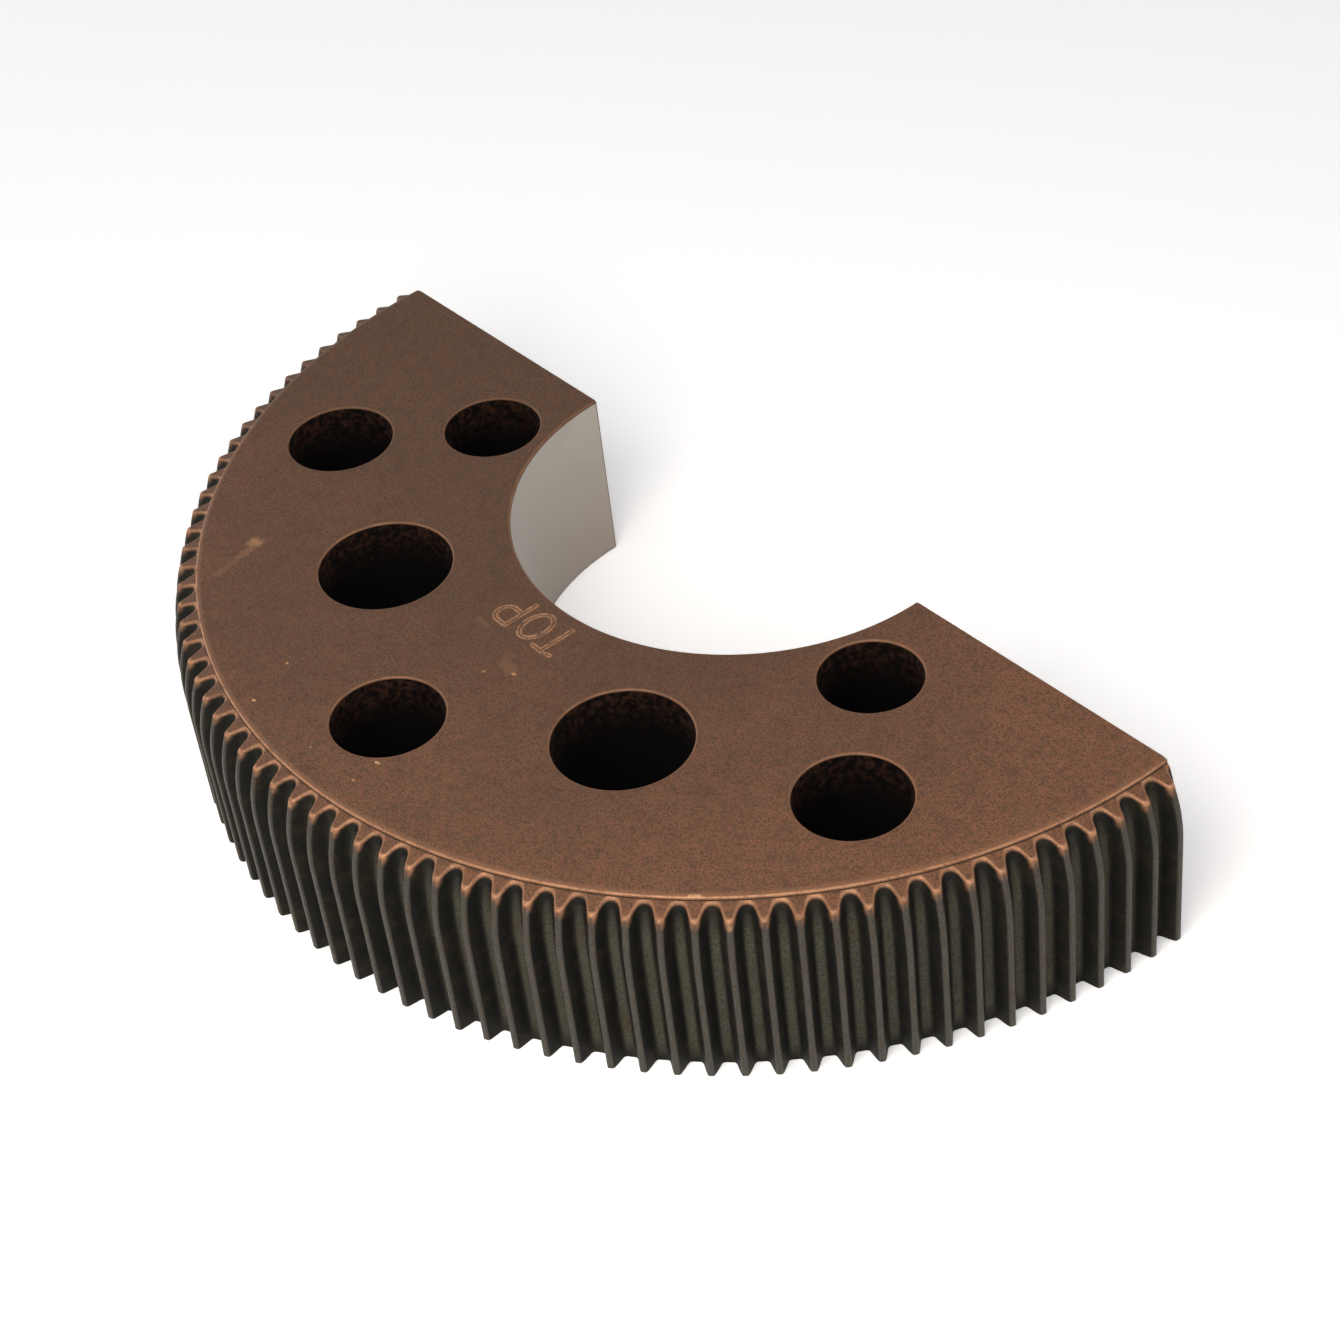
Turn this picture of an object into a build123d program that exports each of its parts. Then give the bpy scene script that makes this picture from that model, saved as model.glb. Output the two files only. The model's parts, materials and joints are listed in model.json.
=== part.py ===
from build123d import *
import math
import os

# Sector gear: half of a spur ring gear, machined from one piece of steel.
# Millimetres, +Z up. The origin is on the gear axis at the underside, and the middle of the toothed arc
# is on -Y, so that the open side of the half ring faces +Y.

# Body
thickness = 31.0
bore_radius = 37.5
bore_edge_break = 0.5

# Teeth: involute spur teeth with a long addendum, a shallow dedendum and a wide root
tooth_module = 1.5
teeth_full_circle = 120
teeth_kept = 60
pressure_angle = 20.0
tooth_thinning = 0.07
addendum_factor = 1.3
dedendum_factor = 0.5
root_corner_height = 0.4
root_corner_width = 0.4
tip_edge_break = 0.4

# Crown: towards the top face the teeth curve in to the rim
crown_length = 11.5
tip_crown_radius = 26.0
tooth_top_drop = 1.75

# Rim: the plain top face ends in a bevel, with a low wall down to the tops of the teeth
rim_set_back = 2.25
rim_bevel_width = 0.8
rim_bevel_drop = 0.3
rim_wall_height = 0.5
gap_end_clearance = 0.05

# Through holes: one in the middle of the arc, the others in pairs either side of it.
# Each wall is the metal left between a hole and the rim or the bore.
outer_hole_diameter = 17.2
outer_hole_rim_wall = 7.9
outer_hole_angle = 60.0
large_hole_diameter = 21.0
large_hole_bore_wall = 9.5
large_hole_angle = 30.0
inner_hole_diameter = 15.7
inner_hole_bore_wall = 2.25
inner_hole_angle = 70.0
hole_edge_break = 0.4

# Sizes that follow from the ones above
pitch_radius = tooth_module * teeth_full_circle / 2
tip_radius = pitch_radius + tooth_module * addendum_factor
root_radius = pitch_radius - tooth_module * dedendum_factor
rim_radius = root_radius - rim_set_back
pitch_step = 360 / teeth_full_circle
sector_angle = pitch_step * teeth_kept
crown_start = thickness - crown_length
outer_hole_circle = rim_radius - outer_hole_rim_wall - outer_hole_diameter / 2
large_hole_circle = bore_radius + large_hole_bore_wall + large_hole_diameter / 2
inner_hole_circle = bore_radius + inner_hole_bore_wall + inner_hole_diameter / 2
middle_direction = -90


def involute(angle):
    return math.tan(angle) - angle


def crown_drop(arc_radius, height):
    """How far in an arc has come, at this height above the crown's start, where it is upright."""
    return arc_radius - math.sqrt(arc_radius**2 - height**2)


def half_gap(radius):
    """Half the width of a gap between two teeth, at this radius."""
    pressure = math.radians(pressure_angle)
    base_radius = pitch_radius * math.cos(pressure)
    tooth_at_pitch = tooth_module * math.pi / 2 - tooth_thinning
    leaned = involute(math.acos(base_radius / radius)) - involute(pressure)
    half_tooth = tooth_at_pitch / (2 * pitch_radius) - leaned
    return radius * math.sin(math.pi / teeth_full_circle - half_tooth)


def gap_section():
    """One gap in plan, centred on +X: a flat floor, two cut corners, and flanks that run past the tips."""
    corner_radius = root_radius + root_corner_height
    mouth_radius = tip_radius + tooth_module
    half_floor = half_gap(root_radius) - root_corner_width
    half_outline = [
        (root_radius, half_floor),
        (corner_radius, half_gap(corner_radius)),
        (mouth_radius, half_gap(mouth_radius)),
    ]
    other_half = [(radius, -half) for radius, half in reversed(half_outline)]
    return make_face(Polyline(*half_outline, *other_half, close=True))


def gap_cutter():
    """The gap's section taken straight up from the underside, then over the crown almost to the rim."""
    section = gap_section()
    end_height = crown_length - rim_bevel_drop
    end_drop = root_radius - rim_radius - gap_end_clearance
    arc_radius = (end_height**2 + end_drop**2) / (2 * end_drop)
    turn = math.degrees(math.asin(end_height / arc_radius))
    straight = extrude(section, crown_start)
    pivot = Axis((root_radius - arc_radius, 0, crown_start), (0, -1, 0))
    curved = revolve(Pos(0, 0, crown_start) * section, pivot, revolution_arc=turn)
    return straight + curved


def blank():
    """The half ring before its teeth and holes are cut, turned about the gear axis."""
    crown_height = crown_length - tooth_top_drop
    crown = []
    for share in (0, 1 / 3, 2 / 3, 1):
        height = crown_height * share
        crown.append((tip_radius - crown_drop(tip_crown_radius, height), 0, crown_start + height))
    upright = (0, 0, 1)
    leaning = (-crown_height, 0, math.sqrt(tip_crown_radius**2 - crown_height**2))
    outline = Polyline(
        crown[-1],
        (rim_radius, 0, thickness - rim_bevel_drop - rim_wall_height),
        (rim_radius, 0, thickness - rim_bevel_drop),
        (rim_radius - rim_bevel_width, 0, thickness),
        (bore_radius + bore_edge_break, 0, thickness),
        (bore_radius, 0, thickness - bore_edge_break),
        (bore_radius, 0, bore_edge_break),
        (bore_radius + bore_edge_break, 0, 0),
        (tip_radius - tip_edge_break, 0, 0),
        (tip_radius, 0, tip_edge_break),
        crown[0],
    )
    section = make_face([outline, Spline(*crown, tangents=[upright, leaning])])
    ring = revolve(section, Axis.Z, revolution_arc=sector_angle)
    return Rot(0, 0, middle_direction - sector_angle / 2) * ring


def hole(diameter, circle_radius, angle):
    """A through hole with its edge broken at both faces, at an angle from the middle of the arc."""
    radius = diameter / 2
    mouth = radius + hole_edge_break
    bore = Pos(0, 0, thickness / 2) * Cylinder(radius, thickness)
    low = Pos(0, 0, hole_edge_break / 2) * Cone(mouth, radius, hole_edge_break)
    high = Pos(0, 0, thickness - hole_edge_break / 2) * Cone(radius, mouth, hole_edge_break)
    return Rot(0, 0, middle_direction + angle) * Pos(circle_radius, 0, 0) * (bore + low + high)


def holes():
    cutters = [hole(outer_hole_diameter, outer_hole_circle, 0)]
    for side in (-1, 1):
        cutters.append(hole(outer_hole_diameter, outer_hole_circle, side * outer_hole_angle))
        cutters.append(hole(large_hole_diameter, large_hole_circle, side * large_hole_angle))
        cutters.append(hole(inner_hole_diameter, inner_hole_circle, side * inner_hole_angle))
    return cutters


def tooth_gaps():
    """All the gaps, from the half gap at one end face to the half gap at the other."""
    cutter = gap_cutter()
    first = middle_direction - sector_angle / 2
    return [Rot(0, 0, first + index * pitch_step) * cutter for index in range(teeth_kept + 1)]


sector_gear = blank() - holes() - tooth_gaps()
sector_gear.label = "sector_gear"

os.makedirs("parts", exist_ok=True)
export_step(sector_gear, "parts/sector_gear.step")
print("volume", round(sector_gear.volume), "faces", len(sector_gear.faces()), "valid", sector_gear.is_valid)
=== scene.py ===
import json
import math

import bmesh
import bpy
import numpy as np
from mathutils import Matrix, Vector


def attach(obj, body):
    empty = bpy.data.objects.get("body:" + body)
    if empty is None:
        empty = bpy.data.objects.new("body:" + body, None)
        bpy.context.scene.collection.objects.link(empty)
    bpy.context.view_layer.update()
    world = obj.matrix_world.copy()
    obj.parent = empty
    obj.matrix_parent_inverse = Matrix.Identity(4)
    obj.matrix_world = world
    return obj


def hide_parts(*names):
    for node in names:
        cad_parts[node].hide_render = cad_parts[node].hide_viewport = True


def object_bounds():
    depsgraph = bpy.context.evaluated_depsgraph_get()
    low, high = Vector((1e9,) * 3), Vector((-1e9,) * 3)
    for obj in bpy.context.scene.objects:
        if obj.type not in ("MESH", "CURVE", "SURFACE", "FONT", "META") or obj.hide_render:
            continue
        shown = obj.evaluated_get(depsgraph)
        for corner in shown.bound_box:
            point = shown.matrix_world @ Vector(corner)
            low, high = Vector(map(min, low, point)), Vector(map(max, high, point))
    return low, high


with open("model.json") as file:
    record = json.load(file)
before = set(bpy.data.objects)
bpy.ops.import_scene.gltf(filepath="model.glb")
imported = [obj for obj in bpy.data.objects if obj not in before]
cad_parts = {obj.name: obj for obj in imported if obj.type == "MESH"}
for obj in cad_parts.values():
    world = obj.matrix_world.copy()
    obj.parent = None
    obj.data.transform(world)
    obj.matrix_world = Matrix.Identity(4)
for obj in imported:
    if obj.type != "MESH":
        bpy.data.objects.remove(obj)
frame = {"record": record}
cadBox = [list(corner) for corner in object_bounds()]

mm = 0.001
mounts = {mount["name"]: mount for mount in frame["record"]["mounts"]}
thickness = cadBox[1][2] / mm
boreRadius = mounts["hub_seat"]["dims"]["r_mm"]
print("frame loaded: thickness", round(thickness, 2), "bore radius", boreRadius)


# Node trees


class Wire:
    # One output socket, so that shader and geometry maths can be written as Python expressions
    def __init__(self, graph, socket):
        self.graph = graph
        self.socket = socket

    def maths(self, operation, *values):
        return self.graph.add("ShaderNodeMath", dict(enumerate(values)), operation=operation)

    def __add__(self, other):
        return self.maths("ADD", self, other)

    def __radd__(self, other):
        return self.maths("ADD", other, self)

    def __sub__(self, other):
        return self.maths("SUBTRACT", self, other)

    def __rsub__(self, other):
        return self.maths("SUBTRACT", other, self)

    def __mul__(self, other):
        return self.maths("MULTIPLY", self, other)

    def __rmul__(self, other):
        return self.maths("MULTIPLY", other, self)

    def __truediv__(self, other):
        return self.maths("DIVIDE", self, other)

    def step(self, low, high):
        # 0 below low, 1 above high, with a smooth change between them
        values = {"Value": self, "From Min": low, "From Max": high}
        return self.graph.add("ShaderNodeMapRange", values, interpolation_type="SMOOTHSTEP")


class Graph:
    # Adds nodes to one tree, of a material or of Geometry Nodes
    def __init__(self, tree):
        self.tree = tree

    def add(self, kind, inputs=None, output=0, **settings):
        node = self.tree.nodes.new(kind)
        for name, value in settings.items():
            setattr(node, name, value)
        for name, value in (inputs or {}).items():
            if isinstance(value, Wire):
                self.tree.links.new(value.socket, node.inputs[name])
            else:
                node.inputs[name].default_value = value
        return Wire(self, node.outputs[output]) if len(node.outputs) else None

    def mix(self, factor, first, second):
        colours = [c if isinstance(c, Wire) else (*c, 1) for c in (first, second)]
        return self.add("ShaderNodeMix", {0: factor, 6: colours[0], 7: colours[1]}, 2, data_type="RGBA")


def newGroup(name, inputs):
    # An empty Geometry Nodes group with these named inputs, and the wires that they come in on
    group = bpy.data.node_groups.new(name, "GeometryNodeTree")
    group.interface.new_socket("Geometry", in_out="INPUT", socket_type="NodeSocketGeometry")
    for title, kind in inputs.items():
        group.interface.new_socket(title, in_out="INPUT", socket_type="NodeSocket" + kind)
    group.interface.new_socket("Geometry", in_out="OUTPUT", socket_type="NodeSocketGeometry")
    graph = Graph(group)
    node = group.nodes.new("NodeGroupInput")
    wires = {socket.name: Wire(graph, socket) for socket in node.outputs if socket.name}
    return graph, wires


def applyGroup(name, start, group, values):
    # Runs a Geometry Nodes group on a mesh with these input values, and returns the mesh that it makes
    holder = bpy.data.objects.new(name, start)
    bpy.context.scene.collection.objects.link(holder)
    modifier = holder.modifiers.new(name, "NODES")
    modifier.node_group = group
    for item in group.interface.items_tree:
        if item.item_type == "SOCKET" and item.in_out == "INPUT" and item.name in values:
            modifier[item.identifier] = values[item.name]
    evaluated = holder.evaluated_get(bpy.context.evaluated_depsgraph_get())
    result = bpy.data.meshes.new_from_object(evaluated)
    holder.modifiers.clear()
    bpy.data.objects.remove(holder)
    return result


traitNames = ("wear", "dark", "depth")  # what every point of the gear carries for its finish and its painted shade


def newMesh(name, points, faces=(), edges=(), traits=None):
    # A mesh from points in millimetres, with a row of traits for each point
    mesh = bpy.data.meshes.new(name)
    mesh.from_pydata((np.asarray(points) * mm).tolist(), list(edges), list(faces))
    if traits is not None:
        for title, values in zip(traitNames, np.asarray(traits, float).T):
            mesh.attributes.new(title, "FLOAT", "POINT").data.foreach_set("value", values.copy())
    return mesh


# Finishes


def newMaterial(name):
    material = bpy.data.materials.new(name)
    material.use_nodes = True
    material.node_tree.nodes.clear()
    graph = Graph(material.node_tree)
    place = graph.add("ShaderNodeTexCoord", output="Object")
    inMillimetres = graph.add("ShaderNodeVectorMath", {0: place, "Scale": 1 / mm}, operation="SCALE")
    return material, graph, inMillimetres


def noise(graph, place, size, detail, roughness):
    # Noise of about this size in millimetres, from 0 to 1
    values = {"Vector": place, "Scale": 1 / size, "Detail": detail, "Roughness": roughness}
    return graph.add("ShaderNodeTexNoise", values)


def closeMaterial(graph, colour, roughness, metallic, shine, bump, bumpHeight):
    normal = graph.add("ShaderNodeBump", {"Height": bump, "Distance": bumpHeight * mm})
    surface = graph.add("ShaderNodeBsdfPrincipled", {
        "Base Color": colour, "Roughness": roughness, "Metallic": metallic, "Normal": normal,
        "Specular IOR Level": shine,
    })
    graph.add("ShaderNodeOutputMaterial", {"Surface": surface})


# Small marks in the oxide. Each has its two ends, half its width and its strength.
marks = {
    "leftScuff": ((-48.9, -60.8, 31), (-48.3, -60.5, 31), 1.15, 0.46),
    "leftStroke": ((-47.84, -62.11, 31), (-47.46, -64.46, 31), 0.8, 0.2),
    "leftTrail": ((-47.5, -64.2, 31), (-46.6, -69.5, 31), 0.7, 0.09),
    "middleRub": ((3.04, -51.22, 31), (5.4, -51.7, 31), 1.2, 0.1),
    "middleSpeck": ((6.15, -51.97, 31), (6.25, -51.9, 31), 0.3, 0.9),
    "middleDot": ((2.43, -54.7, 31), (2.5, -54.6, 31), 0.24, 0.8),
    "frontSpeck": ((-20.85, -73.93, 31), (-20.75, -73.9, 31), 0.2, 1),
    "frontDash": ((-17.67, -82.28, 31), (-17.4, -82.2, 31), 0.22, 1),
    "frontDot": ((7.35, -82.01, 31), (7.45, -82, 31), 0.2, 0.9),
    "stampRub": ((-7.5, -47.7, 31), (-5.5, -47.75, 31), 0.6, 0.1),
    "frontFleck": ((6.75, -77.45, 31), (7.3, -77.35, 31), 0.27, 1),
    "frontPoint": ((-3.0, -82.2, 31), (-2.9, -82.25, 31), 0.2, 0.9),
    "rimScuff": ((59.15, -63.41, 30.8), (60.1, -62.5, 30.8), 0.3, 0.75),
    "tipScuff": ((-29.9, -84.5, 29.75), (-29.9, -85.3, 29.4), 0.35, 0.8),
    "tipTail": ((-29.9, -85.3, 29.4), (-28.9, -85.4, 28.9), 0.3, 0.8),
    "rightTip": ((65.5, -62.3, 28.6), (65.6, -62.2, 28.2), 0.4, 0.6),
    "frontTip": ((2.3, -90.2, 28.8), (2.4, -90.2, 28.4), 0.35, 0.8),
}
markEdge = {
    "uneven": 1.8,  # each as a share of half the mark's width
    "full": 0.3,
    "gone": 1.3,
    "grainRange": (0.35, 0.62),
    "grainShare": 0.75,
    "leastShare": 0.45,
}


def lineDistance(graph, place, start, end):
    # Distance in millimetres from a short straight line
    along = Vector(end) - Vector(start)
    away = graph.add("ShaderNodeVectorMath", {0: place, 1: start}, operation="SUBTRACT")
    share = graph.add("ShaderNodeVectorMath", {0: away, 1: along}, "Value", operation="DOT_PRODUCT")
    whole = {0: share, 1: 1 / along.length_squared}
    share = graph.add("ShaderNodeMath", whole, operation="MULTIPLY", use_clamp=True)
    onLine = graph.add("ShaderNodeVectorMath", {0: along, "Scale": share}, operation="SCALE")
    return graph.add("ShaderNodeVectorMath", {0: away, 1: onLine}, "Value", operation="DISTANCE")


def marked(graph, place, broken):
    # 1 on the marks, with uneven edges
    total = None
    for start, end, half, strength in marks.values():
        away = lineDistance(graph, place, start, end) + (broken - 0.5) * (markEdge["uneven"] * half)
        mark = (1 - away.step(markEdge["full"] * half, markEdge["gone"] * half)) * strength
        total = mark if total is None else total.maths("MAXIMUM", total, mark)
    return total


oxideAndPaintedLight = {
    "brown": (0.112, 0.053, 0.029),
    "brownWarm": (0.207, 0.088, 0.045),
    "brownOlive": (0.088, 0.06, 0.034),
    "brownDark": (0.036, 0.02, 0.013),
    "copper": (0.37, 0.187, 0.1),
    # gapFloor and tip are painted highlights where the gap floors and tip lands face the light; flank is
    # painted shade on the tooth flanks
    "gapFloor": (0.082, 0.076, 0.054),
    "flank": (0.013, 0.013, 0.011),
    "toothBrown": (0.062, 0.043, 0.022),
    "tip": (0.066, 0.057, 0.046),
    "mark": (0.5, 0.28, 0.14),
    "clouds": (22.0, 3, 0.55),  # the size in millimetres, detail and roughness of each noise
    "blotches": (3.2, 4, 0.6),
    "grain": (0.3, 2, 0.65),
    "mottle": (0.9, 2, 0.6),
    "underFacing": (0.9, 0.99),  # how squarely a face looks down before it counts as the underside
    "warmAcross": 0.0045,  # painted light: the top face is painted lighter and warmer to the right and towards the rim
    "warmOutward": 0.011,
    "warmRadius": 60.0,
    "warmMiddle": 0.24,
    "cloudShare": 0.9,
    "endWarm": 0.45,  # and painted lighter and warmer again beside the right end face
    "endReach": 24.0,
    "endAcross": 50.0,
    "warmRange": (-0.1, 1.1),
    "oliveRange": (0.38, 0.72),
    "oliveShare": 0.5,
    "blotchRange": (0.42, 0.8),
    "blotchShare": 0.3,
    "grainRange": (0.42, 0.64),
    "grainShare": 0.62,
    "landDepth": 0.17,
    "floorRange": (0.8, 1),
    "floorFade": 4,
    "toothBrownRange": (0.42, 0.74),
    "toothBrownShare": 0.42,
    "toothGrainRange": (0.44, 0.64),
    "toothGrainShare": 0.5,
    "leastWear": 0.3,  # the edges are less rubbed on the far left
    "wearFrom": -65.0,
    "wearFull": 0.0,
    "rubBlotches": 0.6,
    "rubGrain": 0.8,
    "rubRange": (0.45, 0.85),
    "roughness": 0.56,
    "grainRough": 0.2,
    "rubbedSmooth": 0.16,
    "landSmooth": 0.16,
    "metallic": 0.1,
    "rubbedMetal": 0.4,
    "flankMetal": 0.6,
    "landMetal": 0.3,
    "shine": 0.22,
    "bumpGrain": 0.6,
    "bumpHeight": 0.06,
}


def oxideSteel():
    # Brown oxide on the flat faces, with painted light making them lighter to the right and towards the rim.
    # Darker and greyer on the teeth, with painted shade on the flanks, in the gaps and in the crease at the
    # rim's foot, and painted highlights on the tip lands and gap floors. Rubbed to copper along the edges.
    material, graph, place = newMaterial("oxideSteel")
    wear = graph.add("ShaderNodeAttribute", output="Fac", attribute_name="wear")
    dark = graph.add("ShaderNodeAttribute", output="Fac", attribute_name="dark")
    depth = graph.add("ShaderNodeAttribute", output="Fac", attribute_name="depth")
    normal = graph.add("ShaderNodeNewGeometry", output="True Normal")
    facing = graph.add("ShaderNodeSeparateXYZ", {"Vector": normal}, output="Z")
    dark = dark * (1 - (facing * -1).step(*oxideAndPaintedLight["underFacing"]))  # the underside is brown, as the top is
    clouds = noise(graph, place, *oxideAndPaintedLight["clouds"])
    blotches = noise(graph, place, *oxideAndPaintedLight["blotches"])
    grain = noise(graph, place, *oxideAndPaintedLight["grain"])
    mottle = noise(graph, place, *oxideAndPaintedLight["mottle"])
    height = graph.add("ShaderNodeSeparateXYZ", {"Vector": place}, output="Z")
    across = graph.add("ShaderNodeSeparateXYZ", {"Vector": place}, output="X")
    forward = graph.add("ShaderNodeSeparateXYZ", {"Vector": place}, output="Y") * -1
    flat = graph.add("ShaderNodeVectorMath", {0: place, 1: (1, 1, 0)}, operation="MULTIPLY")
    radius = graph.add("ShaderNodeVectorMath", {0: flat}, "Value", operation="LENGTH")

    # Painted light: lighter and warmer to the right, towards the rim and beside the right end face, mixed
    # with the cloudy tone of the brown
    litAndWarm = across * oxideAndPaintedLight["warmAcross"] + (radius - oxideAndPaintedLight["warmRadius"]) * oxideAndPaintedLight["warmOutward"]
    litAndWarm = litAndWarm + oxideAndPaintedLight["warmMiddle"] + (clouds - 0.5) * oxideAndPaintedLight["cloudShare"]
    nearEnd = (1 - forward.step(0, oxideAndPaintedLight["endReach"])) * across.step(0, oxideAndPaintedLight["endAcross"])
    litAndWarm = litAndWarm + nearEnd * oxideAndPaintedLight["endWarm"]
    face = graph.mix(litAndWarm.step(*oxideAndPaintedLight["warmRange"]), oxideAndPaintedLight["brown"], oxideAndPaintedLight["brownWarm"])
    olive = mottle.step(*oxideAndPaintedLight["oliveRange"]) * oxideAndPaintedLight["oliveShare"]
    face = graph.mix(olive, face, oxideAndPaintedLight["brownOlive"])
    stained = blotches.step(*oxideAndPaintedLight["blotchRange"]) * oxideAndPaintedLight["blotchShare"]
    face = graph.mix(stained, face, oxideAndPaintedLight["brownDark"])
    speckled = grain.step(*oxideAndPaintedLight["grainRange"]) * oxideAndPaintedLight["grainShare"]
    face = graph.mix(speckled, face, oxideAndPaintedLight["brownDark"])

    # Painted light on the teeth: a painted highlight on the tip lands and painted shade on the flanks
    land = 1 - depth.step(0, oxideAndPaintedLight["landDepth"])
    tooth = graph.mix(land, oxideAndPaintedLight["flank"], oxideAndPaintedLight["tip"])
    # A painted highlight on the gap floors, fading to the flank colour near the underside
    onFloor = depth.step(*oxideAndPaintedLight["floorRange"]) * height.step(0, oxideAndPaintedLight["floorFade"])
    tooth = graph.mix(onFloor, tooth, oxideAndPaintedLight["gapFloor"])
    stained = blotches.step(*oxideAndPaintedLight["toothBrownRange"]) * oxideAndPaintedLight["toothBrownShare"]
    tooth = graph.mix(stained, tooth, oxideAndPaintedLight["toothBrown"])
    speckled = grain.step(*oxideAndPaintedLight["toothGrainRange"]) * oxideAndPaintedLight["toothGrainShare"]
    tooth = graph.mix(speckled, tooth, oxideAndPaintedLight["flank"])

    colour = graph.mix(dark, face, tooth)
    handled = (forward + across).step(oxideAndPaintedLight["wearFrom"], oxideAndPaintedLight["wearFull"])
    wear = wear * (handled * (1 - oxideAndPaintedLight["leastWear"]) + oxideAndPaintedLight["leastWear"])
    uneven = blotches * oxideAndPaintedLight["rubBlotches"] + grain * oxideAndPaintedLight["rubGrain"]
    rubbed = wear * uneven.step(*oxideAndPaintedLight["rubRange"])
    rubbed = rubbed.maths("MINIMUM", rubbed, 1.0)
    colour = graph.mix(rubbed, colour, oxideAndPaintedLight["copper"])
    scraped = marked(graph, place, mottle)
    grainy = grain.step(*markEdge["grainRange"]) * markEdge["grainShare"] + markEdge["leastShare"]
    colour = graph.mix(scraped * grainy, colour, oxideAndPaintedLight["mark"])

    land = land * dark
    roughness = oxideAndPaintedLight["roughness"] + grain * oxideAndPaintedLight["grainRough"]
    roughness = roughness - rubbed * oxideAndPaintedLight["rubbedSmooth"] - land * oxideAndPaintedLight["landSmooth"]
    metallic = oxideAndPaintedLight["metallic"] + rubbed * oxideAndPaintedLight["rubbedMetal"]
    metallic = metallic + (dark - land) * oxideAndPaintedLight["flankMetal"] + land * oxideAndPaintedLight["landMetal"]
    bump = grain * oxideAndPaintedLight["bumpGrain"] + blotches
    closeMaterial(graph, colour, roughness, metallic, oxideAndPaintedLight["shine"], bump, oxideAndPaintedLight["bumpHeight"])
    return material


machined = {
    # light and low are the lit and shaded ends of a painted shade down the bore wall; low also colours its
    # patches
    "light": (0.375, 0.345, 0.3),
    "low": (0.3, 0.258, 0.22),
    "lines": (1.4, 3, 0.6),
    "lineStretch": (1, 1, 6),
    "patches": (9, 2, 0.5),
    "patchRange": (0.45, 0.8),
    "patchShare": 0.35,
    "roughness": 0.42,
    "lineRough": 0.12,
    "metallic": 0.25,
    "patchMetal": 0.05,
    "shine": 0.3,
    "bumpHeight": 0.012,
}


def boreSteel():
    # The machined seat: smooth and light, with painted shade making it a little darker towards the underside
    material, graph, place = newMaterial("boreSteel")
    height = graph.add("ShaderNodeSeparateXYZ", {"Vector": place}, output="Z")
    stretch = {0: place, 1: machined["lineStretch"]}
    stretched = graph.add("ShaderNodeVectorMath", stretch, operation="MULTIPLY")
    lines = noise(graph, stretched, *machined["lines"])
    patches = noise(graph, place, *machined["patches"])
    # Painted shade: the wall darkens from its lit top towards the underside
    colour = graph.mix((height / thickness).step(0, 1), machined["low"], machined["light"])
    patchy = patches.step(*machined["patchRange"]) * machined["patchShare"]
    colour = graph.mix(patchy, colour, machined["low"])
    roughness = machined["roughness"] + lines * machined["lineRough"]
    metallic = machined["metallic"] + patches * machined["patchMetal"]
    closeMaterial(graph, colour, roughness, metallic, machined["shine"], lines, machined["bumpHeight"])
    return material


drilled = {
    # black is the painted shade deep inside the holes
    "black": (0.002, 0.0015, 0.0015),
    "brown": (0.035, 0.015, 0.009),
    "brownDepth": 9,
    "patches": (1.1, 4, 0.65),
    "patchRange": (0.4, 0.7),
    "roughness": 0.7,
    "patchRough": 0.1,
    "shine": 0.06,
    "bumpHeight": 0.03,
}


def holeSteel():
    # Inside the drilled holes: painted shade makes them nearly black, with a little brown near the top where
    # light reaches
    material, graph, place = newMaterial("holeSteel")
    height = graph.add("ShaderNodeSeparateXYZ", {"Vector": place}, output="Z")
    patches = noise(graph, place, *drilled["patches"])
    # Painted shade: black deep in the holes, with brown patches near the top where light reaches
    near = height.step(thickness - drilled["brownDepth"], thickness) * patches.step(*drilled["patchRange"])
    colour = graph.mix(near, drilled["black"], drilled["brown"])
    roughness = drilled["roughness"] + patches * drilled["patchRough"]
    closeMaterial(graph, colour, roughness, 0.0, drilled["shine"], patches, drilled["bumpHeight"])
    return material


materials = [oxideSteel(), boreSteel(), holeSteel()]
print("finishes made:", len(materials))


# Teeth

teeth = {
    "module": 1.5,
    "fullCircle": 120,
    "kept": 60,
    "pressureAngle": 20.0,
    "thinning": 0.07,
    "addendum": 1.3,
    "dedendum": 0.5,
    "rootRound": 0.6,
    "archRoot": 1.25,
    "archRootTop": 2,
    "tipRound": 0.42,
    "archRound": 1.05,
    "archRoundFrom": 5,
    "ledgeRound": 1.1,  # the arch's round on the ledge, as a share of it, and how much less at the foot
    "ledgeLess": 0.5,
    "underEdge": 0.12,
    "underTip": 0.4,
}
rim = {
    "crownLength": 11.5,
    "crownRadius": 26.0,
    "topDrop": 1.75,
    "setBack": 2.25,
    "bevelWidth": 0.8,
    "bevelDrop": 0.3,
    "wallHeight": 0.5,
    "frontRound": 0.45,
    "footRound": 0.1,
    "wallRound": 0.16,
    "bevelRound": 0.7,
    "wornShare": 0.34,
    "gapEndClearance": 0.05,
    "topMargin": 0.55,
}

# How the tooth's mesh is divided: first its rows from the underside up, then its columns from gap to tooth
fineness = {
    "underTurns": (0, 0.18, 0.36, 0.6, 1),
    "straightShares": (0.33, 0.66),
    "crownRows": 10,
    "crownMargin": 0.5,
    "beforeFront": 0.3,
    "frontSteps": 4,
    "ledgeShares": (0.2, 0.36, 0.5, 0.62, 0.72, 0.8, 0.86, 0.91, 0.955),
    "footSteps": 2,
    "wallSteps": 3,
    "bevelSteps": 2,
    "leastLow": 0.28,  # bounds of the columns on the rounded edge, in millimetres and then as shares
    "leastEdge": 0.3,
    "mostHigh": 0.95,
    "mostFlat": 0.4,
    "mostBend": 0.75,
    "spanSteps": (2, 4, 3, 5, 2),
    "aboveColumns": (2, 4, 4, 4, 3),
    "flankPoints": 120,
    "leanPoint": 10,
}

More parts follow.
